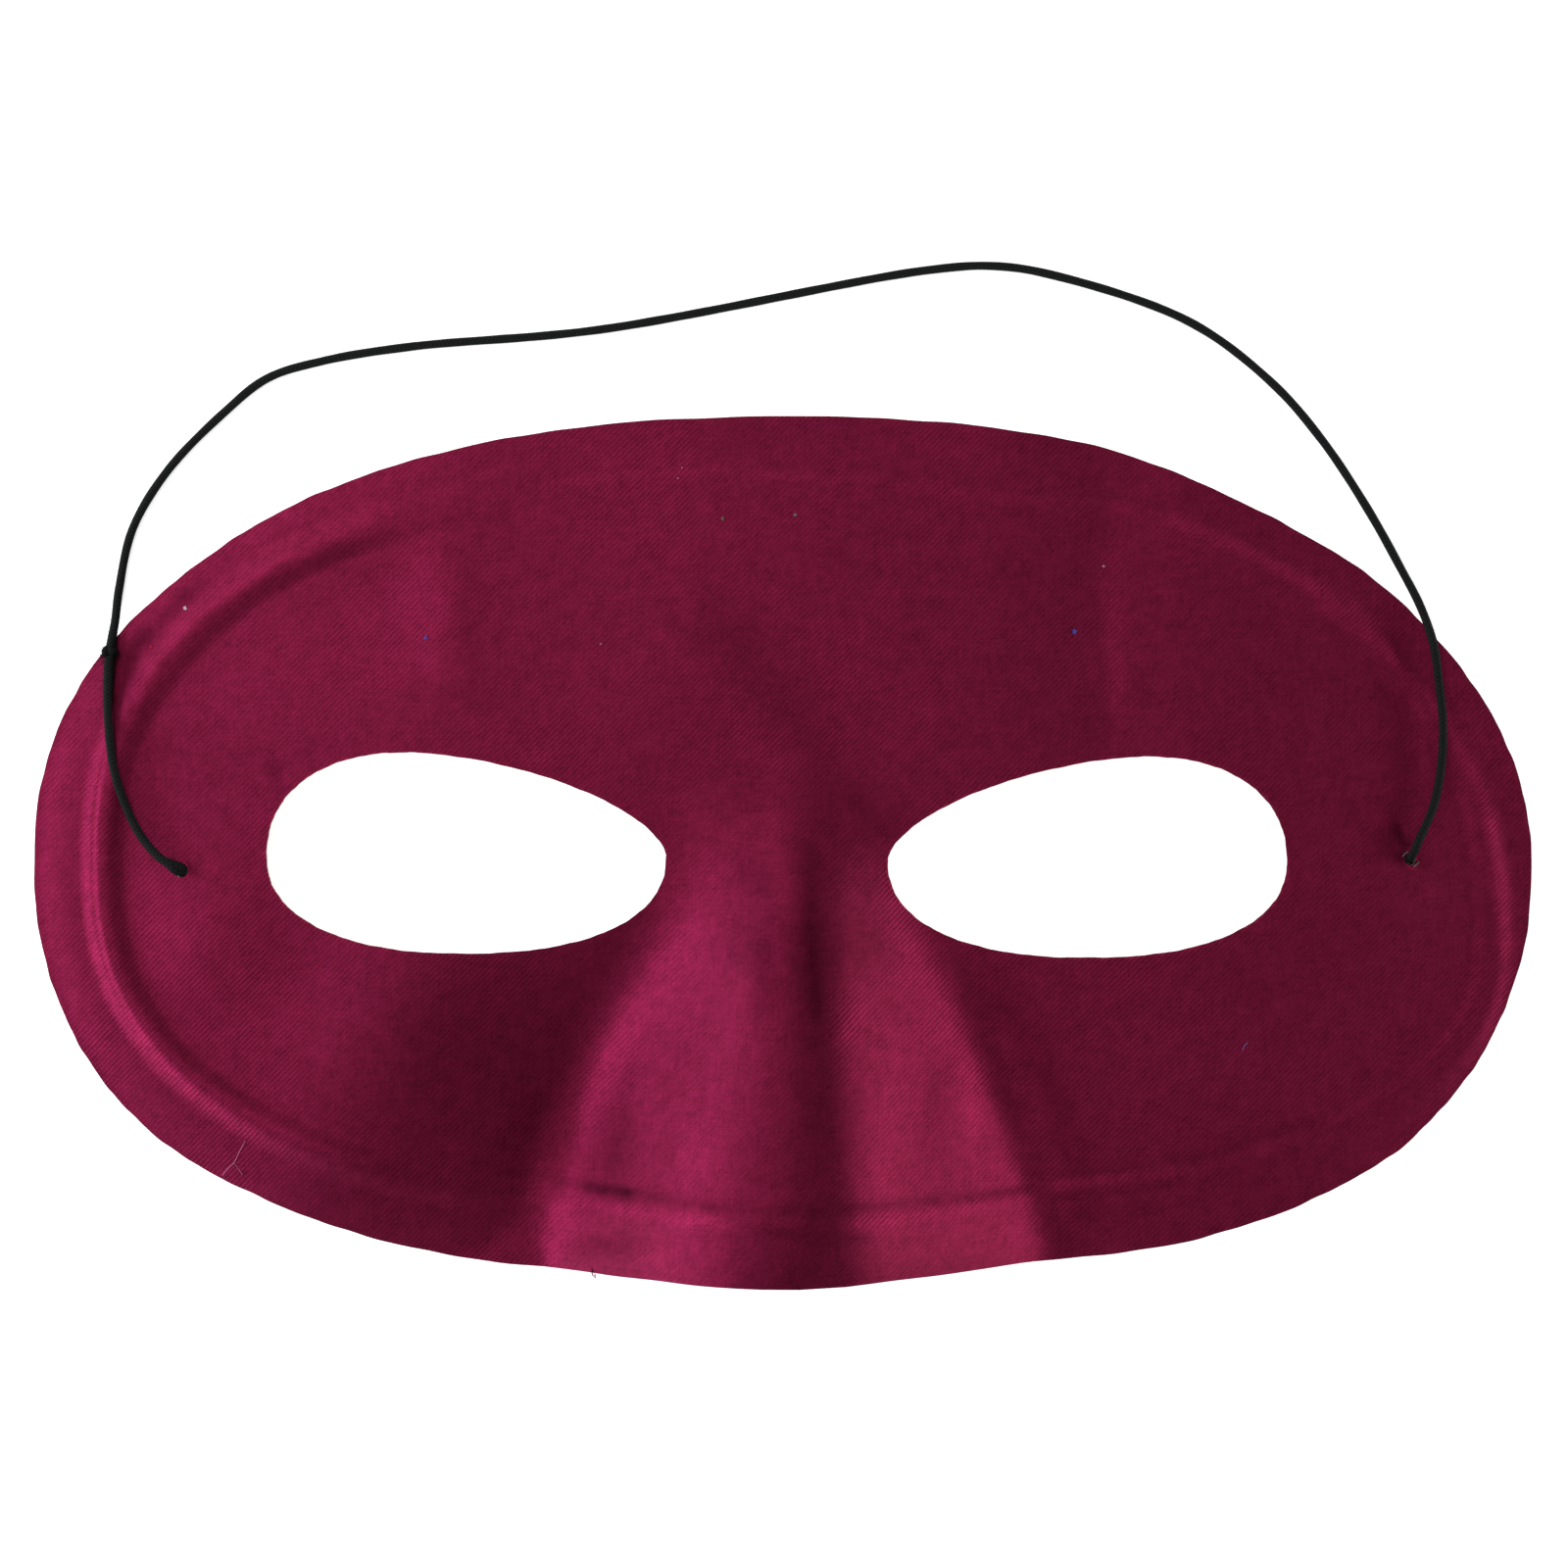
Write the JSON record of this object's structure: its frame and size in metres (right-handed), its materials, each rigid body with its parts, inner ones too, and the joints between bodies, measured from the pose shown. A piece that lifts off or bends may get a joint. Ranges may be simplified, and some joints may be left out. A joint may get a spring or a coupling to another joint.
{
  "type": "masquerade half mask",
  "caption": "Moulded half mask of burgundy sateen on a stiff shell, with almond eye holes, a raised bead inside the edge, a nose and a thin round elastic.",
  "frame": {"origin": "on the table under the middle of the shell, which lies on its back with its face up", "axes": "+X across the mask to the right as seen from its front, +Y up the forehead, +Z out of the face"},
  "size_m": [0.1999, 0.1351, 0.0263],
  "materials": {
    "mask_shell": "satin",
    "elastic_cord": "matte"
  },
  "bodies": {
    "root": {"mask_shell": "mask_shell", "elastic_cord": "elastic_cord", "cord_knot_left": "elastic_cord", "cord_knot_right": "elastic_cord"}
  },
  "joints": []
}
